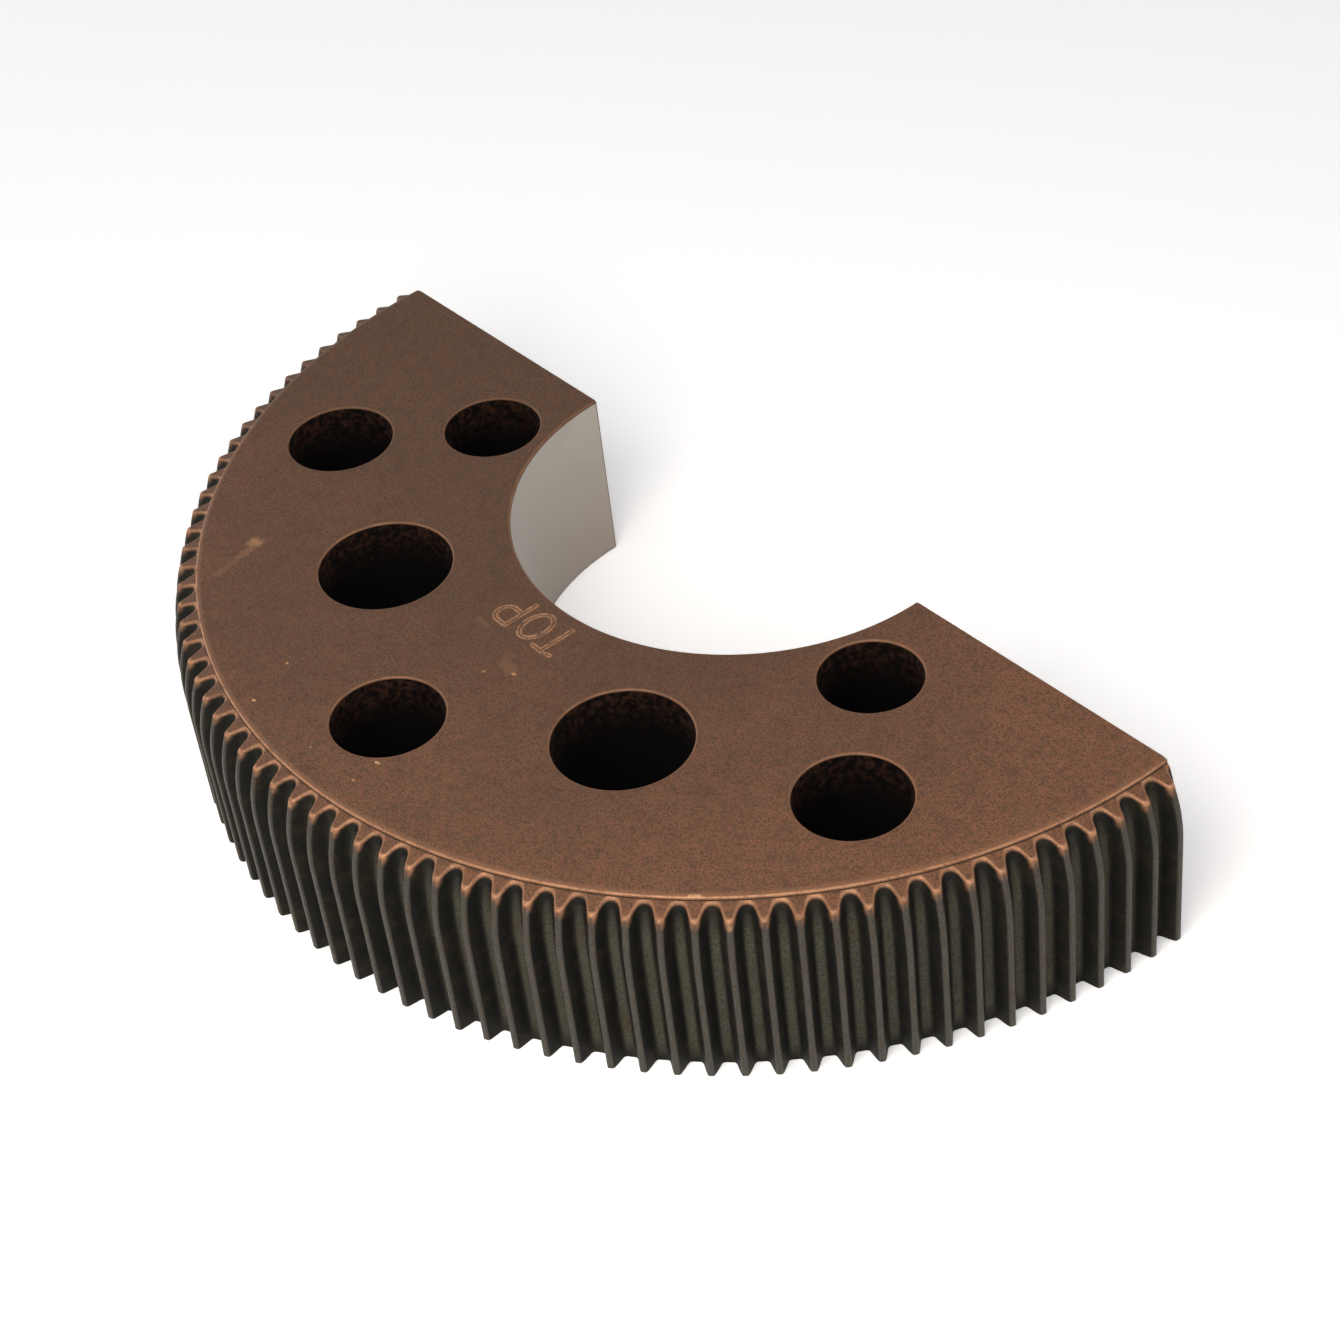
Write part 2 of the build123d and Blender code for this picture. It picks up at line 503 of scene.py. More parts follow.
# Wear on a tooth and the rim, with painted shade in the gaps and in the crease at the rim's foot, from 0 to
# 1 or more, and the ranges over which they change
toothWearAndShade = {
    "archEdge": 0.88,
    "front": 1.15,
    "wallTop": 1.4,
    "wornEnd": 0.3,
    "bevelTop": 0.12,
    # painted shade in the crease where the ledge meets the rim wall
    "footDirt": 0.8,
    "meetingRange": (0.05, 0.85),
    "wornBelow": (1.1, 0.2),
    "brownBelow": (2.6, 1.9),
    # darkDepth: how far a gap sinks under the blank, in millimetres, as painted shade darkens it
    "darkDepth": (0.15, 0.85),
    "wornSunk": 0.4,  # a row's own wear ends where the gap has sunk by this share of the edge's round
    "leastRound": 0.1,
    "sideDepth": 0.25,
    "rimDepth": 0.16,
}

halfStep = math.radians(180 / teeth["fullCircle"])
pitchRadius = teeth["module"] * teeth["fullCircle"] / 2
tipRadius = pitchRadius + teeth["module"] * teeth["addendum"]
rootRadius = pitchRadius - teeth["module"] * teeth["dedendum"]
rimRadius = rootRadius - rim["setBack"]
crownStart = thickness - rim["crownLength"]
weldDistance, nearDistance = 1e-7, 1e-6  # in metres


def involute(angle):
    return np.tan(angle) - angle


def flankHalf(radius):
    # Half the width of a gap between two involute flanks
    pressure = math.radians(teeth["pressureAngle"])
    pitchTooth = teeth["module"] * math.pi / 2 - teeth["thinning"]
    turned = involute(pressure) - involute(np.arccos(pitchRadius * math.cos(pressure) / radius))
    return radius * np.sin(halfStep - pitchTooth / (2 * pitchRadius) - turned)


flankRadii = np.linspace(rootRadius, tipRadius + teeth["module"], fineness["flankPoints"])
flankHalves = flankHalf(flankRadii)

# The flank's lean at the root, over its first stretch
lean = fineness["leanPoint"]
rootLean = math.atan2(flankHalves[lean] - flankHalves[0], flankRadii[lean] - flankRadii[0])

# The gaps rise to the rim along an arc about this point
gapDrop = rootRadius - rimRadius - rim["gapEndClearance"]
gapPivot = rootRadius - ((rim["crownLength"] - rim["bevelDrop"]) ** 2 + gapDrop**2) / (2 * gapDrop)


def smoothStep(low, high, value):
    share = np.clip((value - low) / (high - low), 0, 1)
    return share * share * (3 - 2 * share)


def rootCorner(height):
    # The corner's round at this height, and how far from the middle of the gap it starts and ends
    share = smoothStep(crownStart, thickness - teeth["archRootTop"], height)
    size = teeth["rootRound"] + (teeth["archRoot"] - teeth["rootRound"]) * share
    start = flankHalves[0] - size * (1 - math.sin(rootLean)) / math.cos(rootLean)
    return size, start, start + size * math.cos(rootLean)


def gapSurface(width, corner):
    # Radius of a gap's surface at this distance from its middle: floor, round corner, flank
    size, start, end = corner
    reach = np.clip(width - start, 0, size)
    rounded = rootRadius + size - np.sqrt(size**2 - reach**2)
    return np.where(width < end, rounded, np.interp(width, flankHalves, flankRadii))


def gapHalf(radius, corner):
    # The same surface the other way round: half the gap's width at this radius
    size, start, end = corner
    if radius <= rootRadius:
        return 0.0
    rise = min(radius - rootRadius, size)
    rounded = start + math.sqrt(size**2 - (size - rise) ** 2)
    return rounded if rounded < end else float(np.interp(radius, flankRadii, flankHalves))


def roundCorner(before, corner, after, radius, segments):
    # Points along a round between two straight runs of an outline
    before, corner, after = Vector(before), Vector(corner), Vector(after)
    one, two = (before - corner).normalized(), (after - corner).normalized()
    half = one.angle(two) / 2
    centre = corner + (one + two).normalized() * radius / math.sin(half)
    reach = radius / math.tan(half)
    first, last = corner + one * reach - centre, corner + two * reach - centre
    turn = first.angle_signed(last)
    return [centre + Matrix.Rotation(-turn * i / segments, 2) @ first for i in range(segments + 1)]


def between(start, end, share):
    return [start[i] + (end[i] - start[i]) * share for i in (0, 1)]


def crownPoint(height):
    inward = rim["crownRadius"] - math.sqrt(rim["crownRadius"] ** 2 - height**2)
    return tipRadius - inward, crownStart + height


def bandRows():
    # The outline of the blank from the underside over the crown to the top face.
    # Each row is its radius, height, edge rounding, wear, painted shade in the crease at the rim's foot, and
    # whether it lies above the gaps.
    tip, arch, underTip = teeth["tipRound"], teeth["archRound"], teeth["underTip"]
    crownTop = rim["crownLength"] - rim["topDrop"]
    before, front = crownPoint(crownTop - fineness["beforeFront"]), crownPoint(crownTop)
    bevelFoot = thickness - rim["bevelDrop"]
    foot, wallTop = (rimRadius, bevelFoot - rim["wallHeight"]), (rimRadius, bevelFoot)
    bevelTop = (rimRadius - rim["bevelWidth"], thickness)
    inside = (bevelTop[0] - 1, thickness)
    bevelSteps = fineness["bevelSteps"]
    rows = []
    for turn in fineness["underTurns"]:
        angle = turn * math.pi / 2
        radius, height = tipRadius - underTip * (1 - math.sin(angle)), underTip * (1 - math.cos(angle))
        rows.append((radius, height, tip, 0, 0, False))
    for share in fineness["straightShares"]:
        rows.append((tipRadius, crownStart * share, tip, 0, 0, False))
    for height in np.linspace(0, crownTop - fineness["crownMargin"], fineness["crownRows"]):
        edge = tip + (arch - tip) * smoothStep(teeth["archRoundFrom"], crownTop, height)
        rows.append((*crownPoint(height), edge, 0, 0, False))
    for point in roundCorner(before, front, foot, rim["frontRound"], fineness["frontSteps"]):
        rows.append((*point, arch, toothWearAndShade["front"], 0, False))
    for share in fineness["ledgeShares"]:
        edge = arch * (teeth["ledgeRound"] - teeth["ledgeLess"] * share)
        rows.append((*between(front, foot, share), edge, 0, 0, False))
    # Painted shade in the crease where the ledge meets the rim wall
    for point in roundCorner(front, foot, wallTop, rim["footRound"], fineness["footSteps"]):
        rows.append((*point, 0, 0, toothWearAndShade["footDirt"], True))
    for point in roundCorner(foot, wallTop, bevelTop, rim["wallRound"], fineness["wallSteps"]):
        rows.append((*point, 0, toothWearAndShade["wallTop"], 0, True))
    rows.append((*between(wallTop, bevelTop, rim["wornShare"]), 0, toothWearAndShade["wornEnd"], 0, True))
    for index, point in enumerate(roundCorner(wallTop, bevelTop, inside, rim["bevelRound"], bevelSteps)):
        rows.append((*point, 0, toothWearAndShade["bevelTop"] * (1 - index / bevelSteps), 0, True))
    rows.append((bevelTop[0] - rim["topMargin"], thickness, 0, 0, 0, True))
    return rows


def rowWidths(radius, middle, edge, corner, above):
    # Where the points of a row lie across half a tooth: closer on the corner and on the rounded edge
    centreWidth = radius * math.sin(halfStep)
    if above:
        steps = fineness["aboveColumns"]
        return centreWidth * np.repeat(np.linspace(0, 1, len(steps)), steps)
    low = max(gapHalf(middle - edge, corner), fineness["leastLow"])
    high = max(gapHalf(middle + edge, corner), low + fineness["leastEdge"])
    high = min(high, fineness["mostHigh"] * centreWidth)
    flat, bend = min(corner[1], fineness["mostFlat"] * low), min(corner[2], fineness["mostBend"] * low)
    stops = [0, flat, bend, low, high, centreWidth]
    spans = zip(stops, stops[1:], fineness["spanSteps"])
    widths = [np.linspace(start, end, steps, endpoint=False) for start, end, steps in spans]
    return np.concatenate([*widths, [centreWidth]])


def breakUnderEdge(points, height):
    # Draws a row near the underside inwards, so that the edge there is round
    edge = teeth["underEdge"]
    inset = edge - math.sqrt(edge**2 - (edge - height) ** 2)
    along = np.gradient(points[:, :2], axis=0)
    along[0] = (0, 1)
    along[-1] = (-math.sin(halfStep), math.cos(halfStep))
    along /= np.linalg.norm(along, axis=1)[:, None]
    points[:, 0] -= along[:, 1] * inset
    points[:, 1] += along[:, 0] * inset


def rowTraits(row, width, meeting, sunk):
    # Wear, darkness and depth along a row. Sunk is how far the gap lies under the blank.
    radius, height, edge, rowWear, creaseShade, above = row
    wornFrom, wornFull = (thickness - rim["topDrop"] - below for below in toothWearAndShade["wornBelow"])
    brownFrom, brownFull = (thickness - below for below in toothWearAndShade["brownBelow"])
    archWear = toothWearAndShade["archEdge"] * smoothStep(*toothWearAndShade["meetingRange"], meeting)
    archWear = archWear * smoothStep(wornFrom, wornFull, height)
    onBlank = sunk < toothWearAndShade["wornSunk"] * max(edge, toothWearAndShade["leastRound"])
    wear = np.maximum(archWear, rowWear * onBlank)
    lower = 1 - smoothStep(brownFrom, brownFull, height)
    # dark picks the tooth colours below the brown band at the top, and adds painted shade where the gap
    # sinks under the blank
    dark = np.maximum(lower, smoothStep(*toothWearAndShade["darkDepth"], sunk))
    depth = np.clip(sunk / (tipRadius - rootRadius), 0, 1)
    depth = np.minimum(depth, 1 - toothWearAndShade["sideDepth"] * width**2)
    # Above the gaps, only the painted shade in the crease at the rim's foot darkens the rim
    if above:
        dark, depth = dark * 0 + creaseShade, depth * 0 + toothWearAndShade["rimDepth"]
    return np.stack([wear, dark, np.maximum(depth, 0)], 1)


def toothRow(row):
    # Half a tooth, from the middle of a gap to the middle of the tooth, as points and their traits
    radius, height, edge, rowWear, creaseShade, above = row
    rise = max(height - crownStart, 0)
    middle = gapPivot + math.hypot(radius - gapPivot, rise)
    corner = rootCorner(height)
    width = rowWidths(radius, middle, edge, corner, above)
    across = np.sqrt(radius**2 - width**2)
    tilt = np.arctan2(rise, across - gapPivot)
    blank = gapPivot + np.hypot(across - gapPivot, rise)
    meeting = np.zeros_like(width)
    surface = blank
    if edge:
        gap = gapSurface(width, corner)
        meeting = np.maximum(edge - np.abs(blank - gap), 0) / edge
        surface = np.minimum(blank, gap) - meeting**2 * edge / 4
    out = surface - gapPivot
    level = min(height, crownStart)
    points = np.stack([gapPivot + out * np.cos(tilt), width, level + out * np.sin(tilt)], 1)
    if height < teeth["underEdge"]:
        breakUnderEdge(points, height)
    return points, rowTraits(row, width, meeting, blank - surface)


def toothCell():
    # One tooth with half a gap either side, centred on +X
    cosine, sine = math.cos(halfStep), math.sin(halfStep)
    turn = np.array([[cosine, sine], [-sine, cosine]])
    points, traits = [], []
    for row in bandRows():
        left, values = toothRow(row)
        left[:, :2] = left[:, :2] @ turn.T
        right = left[-2::-1] * (1, -1, 1)
        points.append(np.concatenate([left, right]))
        traits.append(np.concatenate([values, values[-2::-1]]))
    columns = len(points[0])
    faces = []
    for j in range(len(points) - 1):
        for i in range(columns - 1):
            corner = j * columns + i
            faces.append((corner, corner + 1, corner + columns + 1, corner + columns))
    mesh = newMesh("tooth", np.concatenate(points), faces, traits=np.concatenate(traits))
    shape = bmesh.new()
    shape.from_mesh(mesh)
    bmesh.ops.remove_doubles(shape, verts=shape.verts, dist=weldDistance)
    bmesh.ops.dissolve_degenerate(shape, edges=shape.edges, dist=weldDistance)
    shape.to_mesh(mesh)
    shape.free()
    return mesh


def ringGroup():
    # Repeats the tooth round the gear axis and joins the copies
    graph, wires = newGroup("toothRing", {
        "Teeth": "Int", "Step": "Float", "First": "Float", "Join Distance": "Float", "Material": "Material",
    })
    index = graph.add("GeometryNodeInputIndex")
    angle = wires["First"] + index * wires["Step"]
    turn = graph.add("ShaderNodeCombineXYZ", {"Z": angle})
    points = graph.add("GeometryNodePoints", {"Count": wires["Teeth"]})
    copies = graph.add("GeometryNodeInstanceOnPoints", {
        "Points": points, "Instance": wires["Geometry"], "Rotation": turn,
    })
    joined = graph.add("GeometryNodeRealizeInstances", {"Geometry": copies})
    joined = graph.add("GeometryNodeMergeByDistance", {
        "Geometry": joined, "Distance": wires["Join Distance"],
    })
    done = graph.add("GeometryNodeSetMaterial", {"Geometry": joined, "Material": wires["Material"]})
    graph.add("NodeGroupOutput", {"Geometry": done})
    return graph.tree


def toothRing():
    return applyGroup("toothRing", toothCell(), ringGroup(), {
        "Teeth": teeth["kept"], "Step": 2 * halfStep, "First": -math.pi + halfStep,
        "Join Distance": nearDistance, "Material": materials[0],
    })


ringMesh = toothRing()
print("teeth made:", teeth["kept"], "with", len(ringMesh.polygons), "faces")


# Body

body = {
    "holeRound": 0.35,
    "boreRound": 0.5,
    "roundSteps": 4,
    "margin": 0.25,
    "holeSegments": 84,
    "boreSegments": 144,
    "edgeWear": 0.6,
    "endBreak": 0.3,
    "endLoops": ((0.3, 0.3, 1), (1, 0, 0)),  # how far in and how far under, as shares of the break, and wear
    "leastMitre": 0.5,
}


def wallProfile(radius, edge):
    # A hole's wall from the underside to the top, with both edges rounded and a flat margin round them
    rounded = []
    for i in range(body["roundSteps"] + 1):
        angle = math.pi / 2 * i / body["roundSteps"]
        wear = body["edgeWear"] * math.sin(2 * angle) ** 2
        rounded.append((radius + edge * (1 - math.sin(angle)), edge * (1 - math.cos(angle)), wear))
    outside = radius + edge + body["margin"]
    rows = [(outside, 0, 0), *rounded]
    rows += [(radius, thickness * share, 0) for share in fineness["straightShares"]]
    rows += [(reach, thickness - drop, wear) for reach, drop, wear in reversed(rounded)]
    return rows + [(outside, thickness, 0)]


def lathe(name, profile, centre, first, turn, segments, finishIndex):
    # The wall turned about its centre. Its edges and margins keep the finish of the flat faces.
    closed = abs(turn) >= 360
    steps = segments if closed else segments + 1
    angles = np.radians(first + turn * np.arange(steps) / segments)
    points = [
        (centre[0] + radius * math.cos(angle), centre[1] + radius * math.sin(angle), height)
        for radius, height, wear in profile for angle in angles
    ]
    faces = []
    for j in range(len(profile) - 1):
        for i in range(segments):
            k = (i + 1) % steps
            faces.append((j * steps + i, j * steps + k, (j + 1) * steps + k, (j + 1) * steps + i))
    wear = np.repeat([row[2] for row in profile], steps)
    mesh = newMesh(name, points, faces, traits=np.stack([wear, wear * 0, wear * 0], 1))
    edgeRows = body["roundSteps"] + 1
    onWall = [edgeRows <= j < len(profile) - 1 - edgeRows for j in range(len(profile) - 1)]
    for material in materials:
        mesh.materials.append(material)
    mesh.polygons.foreach_set("material_index", np.repeat(onWall, segments) * finishIndex)
    return mesh


def boreWall():
    profile = wallProfile(boreRadius, body["boreRound"])
    return lathe("boreWall", profile, (0, 0), -180, 180, body["boreSegments"], 1)


def holeWalls():
    walls = []
    for mount in mounts.values():
        if mount["kind"] == "bore":
            centre = [value / mm for value in mount["pos_m"]]
            profile = wallProfile(mount["dims"]["r_mm"], body["holeRound"])
            walls.append(lathe(mount["name"], profile, centre, 0, 360, body["holeSegments"], 2))
    return walls


# Stamp: the plain word that marks the top side, struck into the top face

stamp = {
    "height": 6.1,
    "foot": -39.75,
    "middles": {"T": 5.0, "O": 0.22, "P": -4.9},
    "longBar": ((-1.85, 0), (0.3, -0.05)),
    "shortBar": ((1.25, 0.05), (1.9, 0.15)),
    "roundHalf": 2.05,
    "roundLess": 0.1,
    "roundSegments": 48,
    "stemAt": 1.3,
    "bowlAt": -0.55,
    "bowlSize": (1.6, 1.75),
    "bowlSegments": 20,
    "grooveHalf": 0.14,
    "grooveDepth": 0.12,
    "lipAt": 0.29,
    "lipHalf": 0.25,
    "lipHeight": 0.07,
    "lipWear": 1.9,
    "lipRange": (0.25, 0.6),
    "unevenScale": 900.0,
    "patchWidth": 15.6,
    "patchHeight": 7.8,
    "patchMiddle": (-0.1, -42.8),
    "patchStep": 0.08,
    "seed": 4.0,
}


def arcStroke(centre, size, first, last, segments):
    angles = np.radians(np.linspace(first, last, segments + 1))
    return [(centre[0] + size[0] * math.cos(a), centre[1] + size[1] * math.sin(a)) for a in angles]


def letterStrokes():
    # Letters with their tops away from the gear axis, read from the open side
    foot, top = stamp["foot"], stamp["foot"] - stamp["height"]
    middle = (foot + top) / 2
    t, o, p = (stamp["middles"][letter] for letter in "TOP")
    bars = [[(t + x, top + y) for x, y in stamp[bar]] for bar in ("longBar", "shortBar")]
    roundSize = (stamp["roundHalf"], stamp["height"] / 2 - stamp["roundLess"])
    stem = p + stamp["stemAt"]
    bowlSize, bowlHalf = stamp["bowlSize"], stamp["bowlSize"][1]
    bowl = arcStroke((p + stamp["bowlAt"], top + bowlHalf), bowlSize, 90, 270, stamp["bowlSegments"])
    return [
        [(t, foot), (t, top)],
        *bars,
        arcStroke((o, middle), roundSize, 0, 360, stamp["roundSegments"]),
        [(stem, foot), (stem, top)],
        [(stem, top + 2 * bowlHalf), *bowl, (stem, top)],
    ]


def strokeMesh():
    points, edges = [], []
    for stroke in letterStrokes():
        start = len(points)
        points += [(x, y, thickness) for x, y in stroke]
        edges += [(start + i, start + i + 1) for i in range(len(stroke) - 1)]
    return newMesh("strokes", points, edges=edges)


def stampGroup():
    # A fine patch of the top face, pressed in along the strokes and raised beside them
    names = ["Width", "Height", "Groove Half", "Groove Depth", "Lip At", "Lip Half", "Lip Height"]
    inputs = {name: "Float" for name in [*names, "Lip Wear", "Seed"]}
    inputs.update({"Columns": "Int", "Rows": "Int", "Middle": "Vector", "Material": "Material"})
    graph, wires = newGroup("stampPatch", inputs)
    patch = graph.add("GeometryNodeMeshGrid", {
        "Size X": wires["Width"], "Size Y": wires["Height"],
        "Vertices X": wires["Columns"], "Vertices Y": wires["Rows"],
    })
    patch = graph.add("GeometryNodeTransform", {"Geometry": patch, "Translation": wires["Middle"]})
    strokes = {0: wires["Geometry"]}
    away = graph.add("GeometryNodeProximity", strokes, output="Distance", target_element="EDGES")
    place = graph.add("GeometryNodeInputPosition")
    uneven = graph.add("ShaderNodeTexNoise", {
        "Vector": place, "W": wires["Seed"], "Scale": stamp["unevenScale"], "Detail": 2.0,
    }, noise_dimensions="4D")
    groove = 1 - away.step(0, wires["Groove Half"])
    beside = away - wires["Lip At"]
    lip = 1 - beside.maths("ABSOLUTE", beside).step(0, wires["Lip Half"])
    lip = lip * uneven.step(*stamp["lipRange"])
    height = lip * wires["Lip Height"] - groove * wires["Groove Depth"]
    offset = graph.add("ShaderNodeCombineXYZ", {"Z": height})
    patch = graph.add("GeometryNodeSetPosition", {"Geometry": patch, "Offset": offset})
    for title, value in zip(traitNames, (lip * wires["Lip Wear"], 0.0, 0.0)):
        patch = graph.add("GeometryNodeStoreNamedAttribute", {
            "Geometry": patch, "Name": title, "Value": value,
        }, data_type="FLOAT", domain="POINT")
    done = graph.add("GeometryNodeRealizeInstances", {"Geometry": patch})
    done = graph.add("GeometryNodeSetMaterial", {"Geometry": done, "Material": wires["Material"]})
    graph.add("NodeGroupOutput", {"Geometry": done})
    return graph.tree


def stampPatch():
    x, y = stamp["patchMiddle"]
    return applyGroup("stampPatch", strokeMesh(), stampGroup(), {
        "Width": stamp["patchWidth"] * mm,
        "Height": stamp["patchHeight"] * mm,
        "Columns": round(stamp["patchWidth"] / stamp["patchStep"]) + 1,
        "Rows": round(stamp["patchHeight"] / stamp["patchStep"]) + 1,
        "Middle": (x * mm, y * mm, thickness * mm),
        "Groove Half": stamp["grooveHalf"] * mm,
        "Groove Depth": stamp["grooveDepth"] * mm,
        "Lip At": stamp["lipAt"] * mm,
        "Lip Half": stamp["lipHalf"] * mm,
        "Lip Height": stamp["lipHeight"] * mm,
        "Lip Wear": stamp["lipWear"],
        "Seed": stamp["seed"],
        "Material": materials[0],
    })


# Gear: the pieces above joined into one closed mesh


def joinMeshes(name, parts):
    # One mesh from several, with their traits and finishes
    points, faces, indices, traits = [], [], [], []
    start = 0
    for mesh in parts:
        count = len(mesh.vertices)
        place = np.zeros(count * 3)
        mesh.vertices.foreach_get("co", place)
        points.append(place.reshape(-1, 3) / mm)
        faces += [tuple(start + v for v in polygon.vertices) for polygon in mesh.polygons]
        slots = [materials.index(material) if material else 0 for material in mesh.materials]
        indices += [slots[polygon.material_index] for polygon in mesh.polygons]
        read = np.zeros((len(traitNames), count))
        for row, title in zip(read, traitNames):
            mesh.attributes[title].data.foreach_get("value", row)
        traits.append(read.T)
        start += count
    joined = newMesh(name, np.concatenate(points), faces, traits=np.concatenate(traits))
    joined.polygons.foreach_set("material_index", indices)
    joined.polygons.foreach_set("use_smooth", [True] * len(faces))
    return joined


def fillLevel(shape, height, cut):
    # Fills one flat face, between every open edge that lies at this height
    level = {vert for edge in shape.edges if edge.is_boundary for vert in edge.verts}
    level = {vert for vert in level if abs(vert.co.z - height) < nearDistance}
    onCut = {vert for vert in level if abs(vert.co.y - cut) < nearDistance}
    edges = [edge for edge in shape.edges if edge.is_boundary and level.issuperset(edge.verts)]
    edges = [edge for edge in edges if not onCut.issuperset(edge.verts)]
    ends = sorted(onCut, key=lambda vert: vert.co.x)
    for one, two in zip(ends, ends[1:]):
        acrossBore = abs(one.co.x + two.co.x) / 2 < boreRadius * mm
        if not acrossBore and not shape.edges.get((one, two)):
            edges.append(shape.edges.new((one, two)))
    made = bmesh.ops.triangle_fill(shape, edges=edges, use_beauty=True, use_dissolve=False)
    faces = [item for item in made["geom"] if isinstance(item, bmesh.types.BMFace)]
    for face in faces:
        face.smooth = False
        face.material_index = 0
    return len(faces)


def insetLoop(outline, size):
    # The outline moved inwards. Points that would pass each other in a tight corner are drawn together.
    onward = np.roll(outline, -1, 0) - outline
    along = onward / np.linalg.norm(onward, axis=1)[:, None]
    inward = np.stack([-along[:, 1], along[:, 0]], 1)
    both = inward + np.roll(inward, 1, 0)
    share = np.maximum(1 + np.sum(inward * np.roll(inward, 1, 0), 1), body["leastMitre"])
    offset = outline + both / share[:, None] * size
    clump = np.arange(len(outline))
    while True:
        inner = np.array([offset[clump == clump[i]].mean(0) for i in range(len(outline))])
        step = np.roll(inner, -1, 0) - inner
        crossed = np.flatnonzero((np.sum(step * onward, 1) <= 0) & (clump != np.roll(clump, -1)))
        if not len(crossed):
            return inner, clump
        for i in crossed:
            other = clump[(i + 1) % len(outline)]
            clump[clump == other] = clump[i]


def endOutline(shape, face):
    # The loop round an end face, in the order that keeps its inside on the left, and its flat outline
    face.normal_update()
    if face.normal.y < 0:
        face.normal_flip()
    verts = list(face.verts)
    outline = np.array([(-vert.co.z, -vert.co.x) for vert in verts]) / mm
    turned = np.roll(outline, -1, 0)
    if np.sum(outline[:, 0] * turned[:, 1] - turned[:, 0] * outline[:, 1]) < 0:
        return verts[::-1], outline[::-1]
    return verts, outline


def closeEnds(shape, wearLayer):
    # Closes the two end faces, each with its edge broken
    made = bmesh.ops.holes_fill(shape, edges=[e for e in shape.edges if e.is_boundary], sides=0)["faces"]
    size = body["endBreak"]
    for face in made:
        previous, outline = endOutline(shape, face)
        bmesh.ops.delete(shape, geom=[face], context="FACES_ONLY")
        for inset, sunk, wear in body["endLoops"]:
            inner, clump = insetLoop(outline, inset * size)
            ring = {}
            for i, group in enumerate(clump):
                if group not in ring:
                    ring[group] = shape.verts.new((-inner[i][1] * mm, -sunk * size * mm, -inner[i][0] * mm))
                    ring[group][wearLayer] = wear
            current = [ring[group] for group in clump]
            for i in range(len(current)):
                k = (i + 1) % len(current)
                corners = list(dict.fromkeys([previous[i], previous[k], current[k], current[i]]))
                if len(corners) > 2:
                    shape.faces.new(corners).smooth = True
            previous = current
        inside = list(dict.fromkeys(previous))
        edges = [shape.edges.get((inside[i - 1], inside[i])) for i in range(len(inside))]
        bmesh.ops.triangle_fill(shape, edges=edges, use_beauty=True, use_dissolve=False)
    return len(made)


def buildGear():
    mesh = joinMeshes("sectorGear", [ringMesh, boreWall(), stampPatch(), *holeWalls()])
    shape = bmesh.new()
    shape.from_mesh(mesh)
    cut = -body["endBreak"] * mm
    everything = shape.verts[:] + shape.edges[:] + shape.faces[:]
    plane = {"plane_co": (0, cut, 0), "plane_no": (0, 1, 0)}
    bmesh.ops.bisect_plane(shape, geom=everything, dist=weldDistance, clear_outer=True, **plane)
    print("flat faces:", fillLevel(shape, thickness * mm, cut), fillLevel(shape, 0, cut))
    print("end faces:", closeEnds(shape, shape.verts.layers.float["wear"]))
    bmesh.ops.recalc_face_normals(shape, faces=shape.faces)
    openEdges = sum(1 for edge in shape.edges if len(edge.link_faces) != 2)
    print("open edges:", openEdges, "volume", round(shape.calc_volume() / mm**3), "cubic mm")
    shape.to_mesh(mesh)
    shape.free()
    for material in materials:
        mesh.materials.append(material)
    gear = bpy.data.objects.new("sectorGear", mesh)
    bpy.context.scene.collection.objects.link(gear)
    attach(gear, "root")
    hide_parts("sector_gear")
    return gear


gear = buildGear()
print("gear made:", len(gear.data.polygons), "faces")


# Studio: floor, light and camera

studio = {
    "floorSize": 6.0,
    "floorLevel": -0.02,  # in millimetres, a little under the gear
    "floor": (0.93, 0.93, 0.93),
    "floorRoughness": 0.9,
    "floorShine": 0.1,
    "floorGlow": (0.31, 0.31, 0.31),
    "farGlow": (0.78, 0.78, 0.78),
    "nearFloor": 0.3,
    "farFloor": 1.0,
    "backdrop": (1.0, 1.0, 1.0),
    "ambient": (0.25, 0.25, 0.262),
}
camera = {
    "place": (280.77, -221.71, 306.59),
    "azimuth": 54.206,
    "elevation": 40.873,
    "roll": -7.262,
    "lens": 77.57,
    "sensor": 36.0,
    "nearest": 0.01,
    "farthest": 20,
}
lampTarget = (0, -50, 15)  # in millimetres, and the lamps' own places in metres
lamps = {
    "key": {"place": (0.16, -0.27, 0.31), "size": 0.3, "power": 1.62, "colour": (1.0, 0.95, 0.89)},
    "fill": {"place": (-0.75, -0.3, 0.3), "size": 0.6, "power": 1.9, "colour": (0.98, 0.98, 1.0)},
    "back": {"place": (0.65, 0.42, 0.42), "size": 0.6, "power": 1.8, "colour": (1.0, 0.98, 0.95)},
}


def sceneryRays(graph):
    # 1 where the floor or the world is seen, straight or in a reflection, and 0 where it gives light
    total = None
    for ray in ("Is Camera Ray", "Is Glossy Ray", "Is Transmission Ray"):
        seen = graph.add("ShaderNodeLightPath", output=ray)
        total = seen if total is None else seen.maths("MAXIMUM", total, seen)
    return total


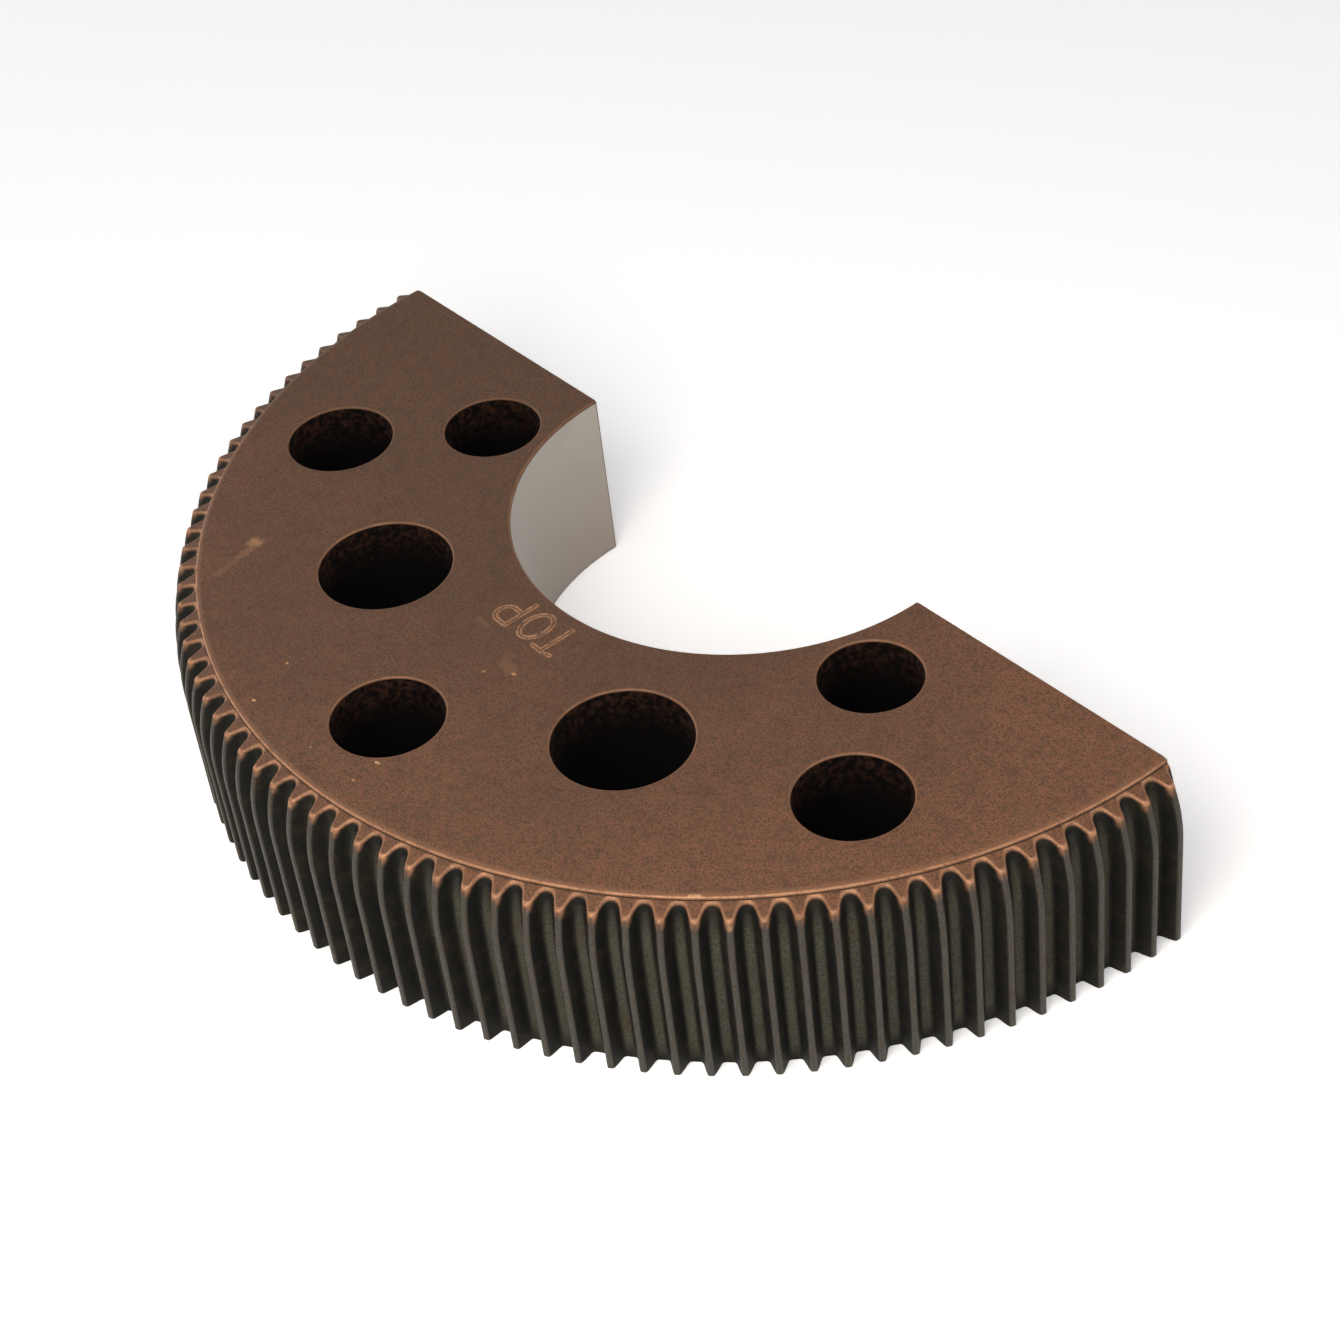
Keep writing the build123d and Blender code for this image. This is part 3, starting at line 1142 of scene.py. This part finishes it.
def makeFloor():
    half, level = studio["floorSize"] / 2, studio["floorLevel"] * mm
    corners = [(x, y, level) for x, y in ((-half, -half), (half, -half), (half, half), (-half, half))]
    mesh = bpy.data.meshes.new("floor")
    mesh.from_pydata(corners, [], [(0, 1, 2, 3)])
    material = bpy.data.materials.new("floorFinish")
    material.use_nodes = True
    material.node_tree.nodes.clear()
    graph = Graph(material.node_tree)
    place = graph.add("ShaderNodeTexCoord", output="Object")
    away = graph.add("ShaderNodeVectorMath", {0: place}, "Value", operation="LENGTH")
    far = away.step(studio["nearFloor"], studio["farFloor"])
    glow = graph.mix(far, studio["floorGlow"], studio["farGlow"])
    glow = graph.mix(sceneryRays(graph), (0, 0, 0), glow)
    surface = graph.add("ShaderNodeBsdfPrincipled", {
        "Base Color": (*studio["floor"], 1), "Roughness": studio["floorRoughness"],
        "Specular IOR Level": studio["floorShine"], "Emission Color": glow, "Emission Strength": 1.0,
    })
    graph.add("ShaderNodeOutputMaterial", {"Surface": surface})
    mesh.materials.append(material)
    floor = bpy.data.objects.new("floor", mesh)
    bpy.context.scene.collection.objects.link(floor)


def makeWorld():
    world = bpy.data.worlds.new("studio")
    world.use_nodes = True
    world.node_tree.nodes.clear()
    graph = Graph(world.node_tree)
    colour = graph.mix(sceneryRays(graph), studio["ambient"], studio["backdrop"])
    light = graph.add("ShaderNodeBackground", {"Color": colour, "Strength": 1.0})
    graph.add("ShaderNodeOutputWorld", {"Surface": light})
    bpy.context.scene.world = world


def makeLamps():
    target = Vector([value * mm for value in lampTarget])
    for name, lamp in lamps.items():
        light = bpy.data.lights.new(name, "AREA")
        light.shape = "DISK"
        light.size = lamp["size"]
        light.energy = lamp["power"]
        light.color = lamp["colour"]
        holder = bpy.data.objects.new(name, light)
        bpy.context.scene.collection.objects.link(holder)
        holder.location = lamp["place"]
        holder.rotation_euler = (target - Vector(lamp["place"])).to_track_quat("-Z", "Y").to_euler()


def makeCamera():
    azimuth, elevation = math.radians(camera["azimuth"]), math.radians(camera["elevation"])
    level = math.cos(elevation)
    back = Vector((math.sin(azimuth) * level, -math.cos(azimuth) * level, math.sin(elevation)))
    data = bpy.data.cameras.new("camera")
    data.lens = camera["lens"]
    data.sensor_width = camera["sensor"]
    data.clip_start, data.clip_end = camera["nearest"], camera["farthest"]
    holder = bpy.data.objects.new("camera", data)
    bpy.context.scene.collection.objects.link(holder)
    holder.location = Vector(camera["place"]) * mm
    upright = (-back).to_track_quat("-Z", "Y").to_matrix()
    holder.rotation_euler = (upright @ Matrix.Rotation(math.radians(camera["roll"]), 3, "Z")).to_euler()
    bpy.context.scene.camera = holder


makeFloor()
makeWorld()
makeLamps()
makeCamera()
bpy.context.scene.view_settings.view_transform = "Standard"
print("studio made")
